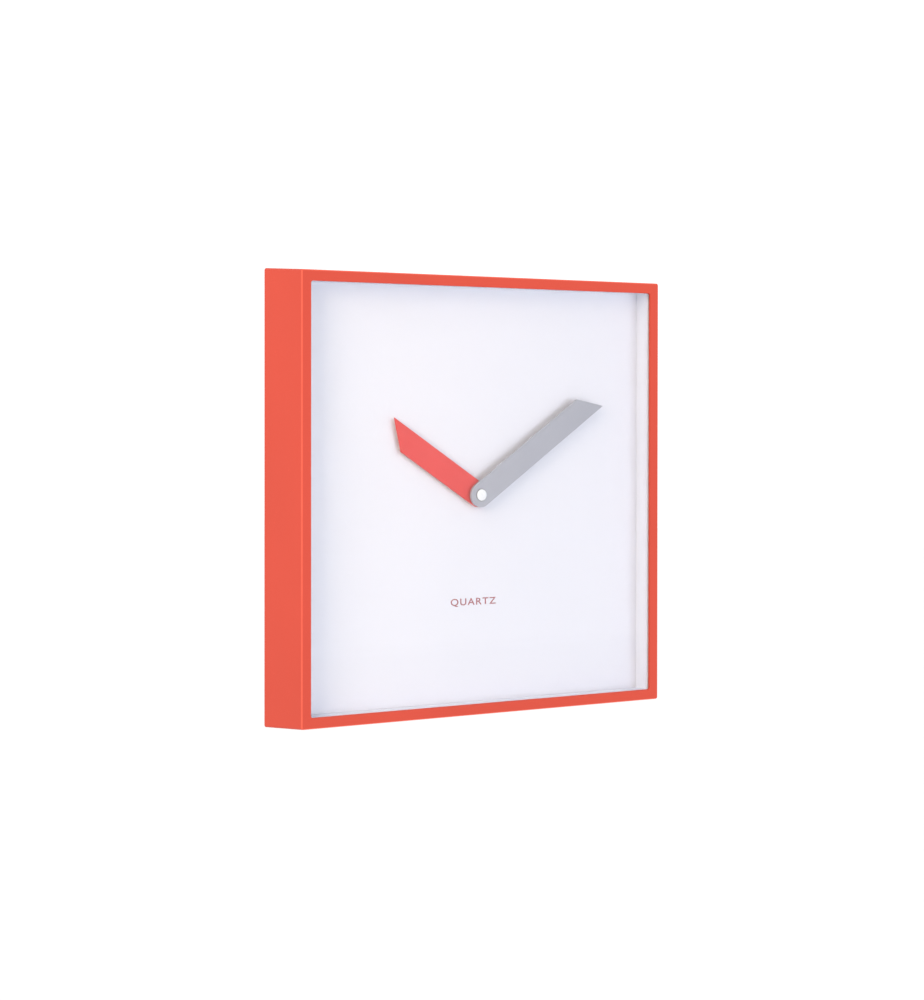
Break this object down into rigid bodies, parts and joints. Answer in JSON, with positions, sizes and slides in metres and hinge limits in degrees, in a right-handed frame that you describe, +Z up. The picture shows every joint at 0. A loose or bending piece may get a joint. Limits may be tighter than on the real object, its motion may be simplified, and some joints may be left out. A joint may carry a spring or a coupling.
{
  "type": "square wall clock",
  "caption": "Square box wall clock with a coral frame, plain white dial, two flat hands and a quartz movement with its gear train.",
  "frame": {"origin": "where the wall screw's shank meets the wall, in the round end of the keyhole slot; the hands' axis is 118 mm below it", "axes": "+Z up, +X to the right as the clock is read, +Y into the wall; the dial faces -Y"},
  "size_m": [0.3002, 0.043, 0.3002],
  "materials": {
    "coral_lacquer": "satin",
    "clear_glass": "polished",
    "liner_white": "satin",
    "dial_white": "matte",
    "hardboard": "smooth pressed board",
    "block_plastic": "matte",
    "zinc_steel": "zinc plated",
    "brass": "turned",
    "black_rubber": "matte",
    "case_black": "fine texture",
    "natural_acetal": "moulded",
    "gear_acetal": "moulded",
    "rotor_magnet": "plastic-bonded magnet",
    "coil_copper": "enamelled wire",
    "stator_iron": "stamped",
    "board_green": "solder resist",
    "chip_resin": "cast resin",
    "crystal_can": "drawn",
    "cell_jacket": "printed film",
    "knob_grey": "moulded",
    "hand_coral": "satin paint",
    "hand_grey": "satin paint",
    "cap_white": "satin"
  },
  "bodies": {
    "case": {"frame": "coral_lacquer", "glass_lens": "clear_glass", "dial_liner": "liner_white", "dial_plate": "dial_white", "back_panel": "hardboard", "hanger_plate": "zinc_steel", "hanger_screw_left": "zinc_steel", "hanger_screw_right": "zinc_steel", "movement_front_case": "case_black", "movement_back_case": "case_black", "middle_plate": "natural_acetal", "bearing_plate": "natural_acetal", "threaded_bush": "brass", "brass_washer": "brass", "hex_nut": "brass", "rubber_washer": "black_rubber", "coil_bobbin": "natural_acetal", "coil_winding": "coil_copper", "stator": "stator_iron", "circuit_board": "board_green", "clock_chip": "chip_resin", "quartz_crystal": "crystal_can", "aa_battery": "cell_jacket", "battery_contact_plus": "zinc_steel", "battery_contact_minus": "zinc_steel", "corner_block_top_left": "block_plastic", "corner_block_top_right": "block_plastic", "corner_block_bottom_left": "block_plastic", "corner_block_bottom_right": "block_plastic", "side_block_top": "block_plastic", "side_block_bottom": "block_plastic", "side_block_left": "block_plastic", "side_block_right": "block_plastic", "panel_screw_top_left": "zinc_steel", "panel_screw_top_right": "zinc_steel", "panel_screw_bottom_left": "zinc_steel", "panel_screw_bottom_right": "zinc_steel", "panel_screw_top": "zinc_steel", "panel_screw_bottom": "zinc_steel", "panel_screw_left": "zinc_steel", "panel_screw_right": "zinc_steel"},
    "minute": {"centre_wheel": "gear_acetal", "minute_hand": "hand_grey", "minute_hand_collet": "brass", "hub_cap": "cap_white"},
    "hour": {"hour_wheel": "gear_acetal", "hour_hand": "hand_coral", "hour_hand_collet": "brass"},
    "motion_wheel": {"minute_wheel": "gear_acetal", "set_knob": "knob_grey"},
    "third": {"third_wheel": "gear_acetal"},
    "fourth": {"fourth_wheel": "gear_acetal"},
    "fifth": {"fifth_wheel": "gear_acetal"},
    "rotor": {"rotor": "rotor_magnet"}
  },
  "joints": [
    {"name": "minute_hand_turn", "type": "hinge", "parent": "case", "child": "minute", "pos_m": [0, -0.015, -0.118], "axis": [0, 1, 0], "continuous": true},
    {"name": "hour_hand_turn", "type": "hinge", "parent": "case", "child": "hour", "pos_m": [0, -0.015, -0.118], "axis": [0, 1, 0], "continuous": true},
    {"name": "setting_knob_turn", "type": "hinge", "parent": "case", "child": "motion_wheel", "pos_m": [-0.00935, -0.015, -0.1126], "axis": [0, 1, 0], "continuous": true},
    {"name": "third_wheel_turn", "type": "hinge", "parent": "case", "child": "third", "pos_m": [0.0045, -0.015, -0.11021], "axis": [0, 1, 0], "continuous": true},
    {"name": "fourth_wheel_turn", "type": "hinge", "parent": "case", "child": "fourth", "pos_m": [0.01146, -0.015, -0.10533], "axis": [0, 1, 0], "continuous": true},
    {"name": "fifth_wheel_turn", "type": "hinge", "parent": "case", "child": "fifth", "pos_m": [0.01655, -0.015, -0.11042], "axis": [0, 1, 0], "continuous": true},
    {"name": "rotor_turn", "type": "hinge", "parent": "case", "child": "rotor", "pos_m": [0.01895, -0.015, -0.117], "axis": [0, 1, 0], "continuous": true}
  ],
  "couplings": [
    {"joint": "hour_hand_turn", "follows": "minute_hand_turn", "ratio": 0.083333},
    {"joint": "setting_knob_turn", "follows": "minute_hand_turn", "ratio": -0.33333},
    {"joint": "third_wheel_turn", "follows": "minute_hand_turn", "ratio": -8},
    {"joint": "fourth_wheel_turn", "follows": "minute_hand_turn", "ratio": 60},
    {"joint": "fifth_wheel_turn", "follows": "minute_hand_turn", "ratio": -300},
    {"joint": "rotor_turn", "follows": "minute_hand_turn", "ratio": 1800}
  ]
}
